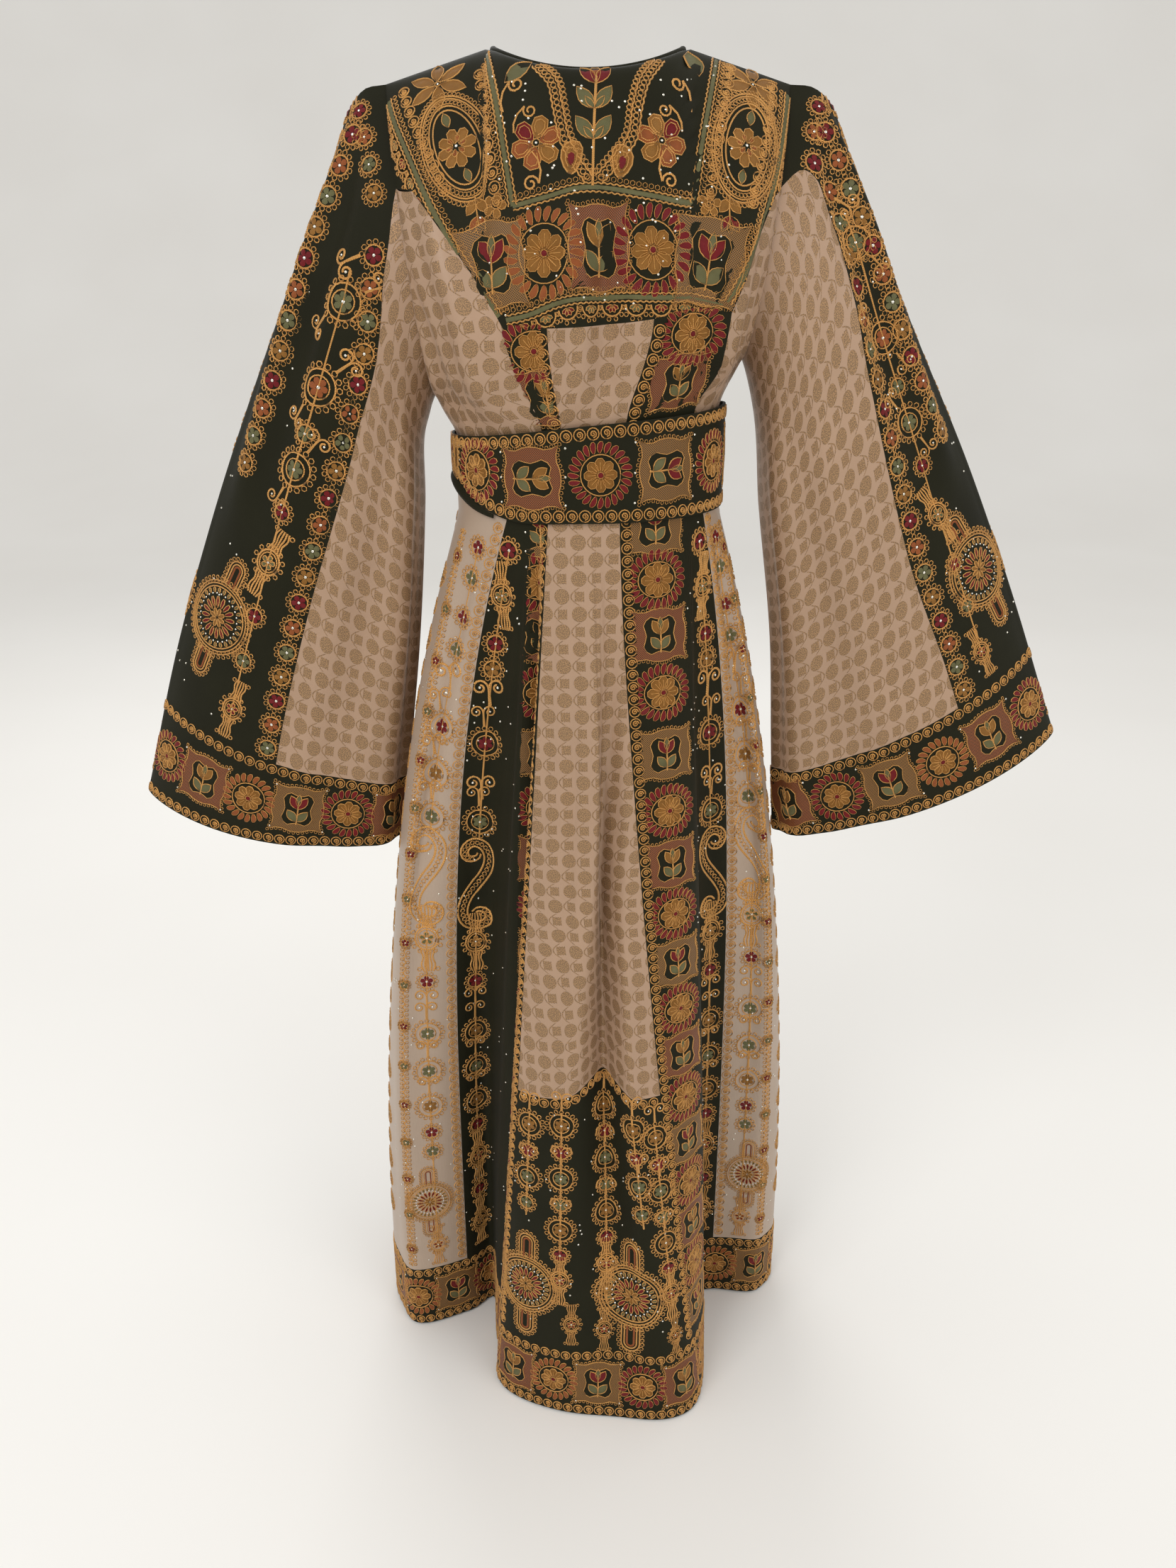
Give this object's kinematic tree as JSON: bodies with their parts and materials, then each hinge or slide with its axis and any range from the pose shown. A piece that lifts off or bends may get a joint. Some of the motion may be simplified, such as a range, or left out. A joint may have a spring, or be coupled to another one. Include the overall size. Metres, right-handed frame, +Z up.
{
  "type": "embroidered thobe",
  "caption": "Long robe of joined cloth panels with wide bell sleeves, banded cuffs and hem, a yoke, a wide belt and a short train at the back.",
  "frame": {"origin": "midway between the shoulder points, at their height, where the shoulders of the wearer carry the garment", "axes": "+Z up, +Y the way the wearer faces, +X the wearer's right; the pictured back faces -Y"},
  "size_m": [1.0126, 0.4206, 1.4248],
  "materials": {
    "green_crepe": "dull crepe with couched cord",
    "cream_brocade": "soft sheen with metallic figures",
    "ivory_satin": "soft satin"
  },
  "bodies": {
    "root": {"back_centre_panel": "cream_brocade", "back_column_left": "green_crepe", "back_column_right": "green_crepe", "back_gore_left": "green_crepe", "back_gore_right": "green_crepe", "back_lower_panel": "green_crepe", "back_side_left": "cream_brocade", "back_side_right": "cream_brocade", "back_yoke": "green_crepe", "belt_back": "green_crepe", "belt_front": "green_crepe", "belt_tail": "green_crepe", "cuff_left_back": "green_crepe", "cuff_left_front": "green_crepe", "cuff_right_back": "green_crepe", "cuff_right_front": "green_crepe", "front_bodice": "cream_brocade", "front_gore_left": "green_crepe", "front_gore_right": "green_crepe", "front_skirt_panel": "cream_brocade", "front_yoke": "green_crepe", "hem_band_front": "green_crepe", "hem_band_left": "green_crepe", "hem_band_right": "green_crepe", "hem_band_train": "green_crepe", "ivory_panel_left": "ivory_satin", "ivory_panel_right": "ivory_satin", "neck_binding": "green_crepe", "sleeve_outer_left": "green_crepe", "sleeve_outer_right": "green_crepe", "sleeve_under_left": "cream_brocade", "sleeve_under_right": "cream_brocade"}
  },
  "joints": []
}
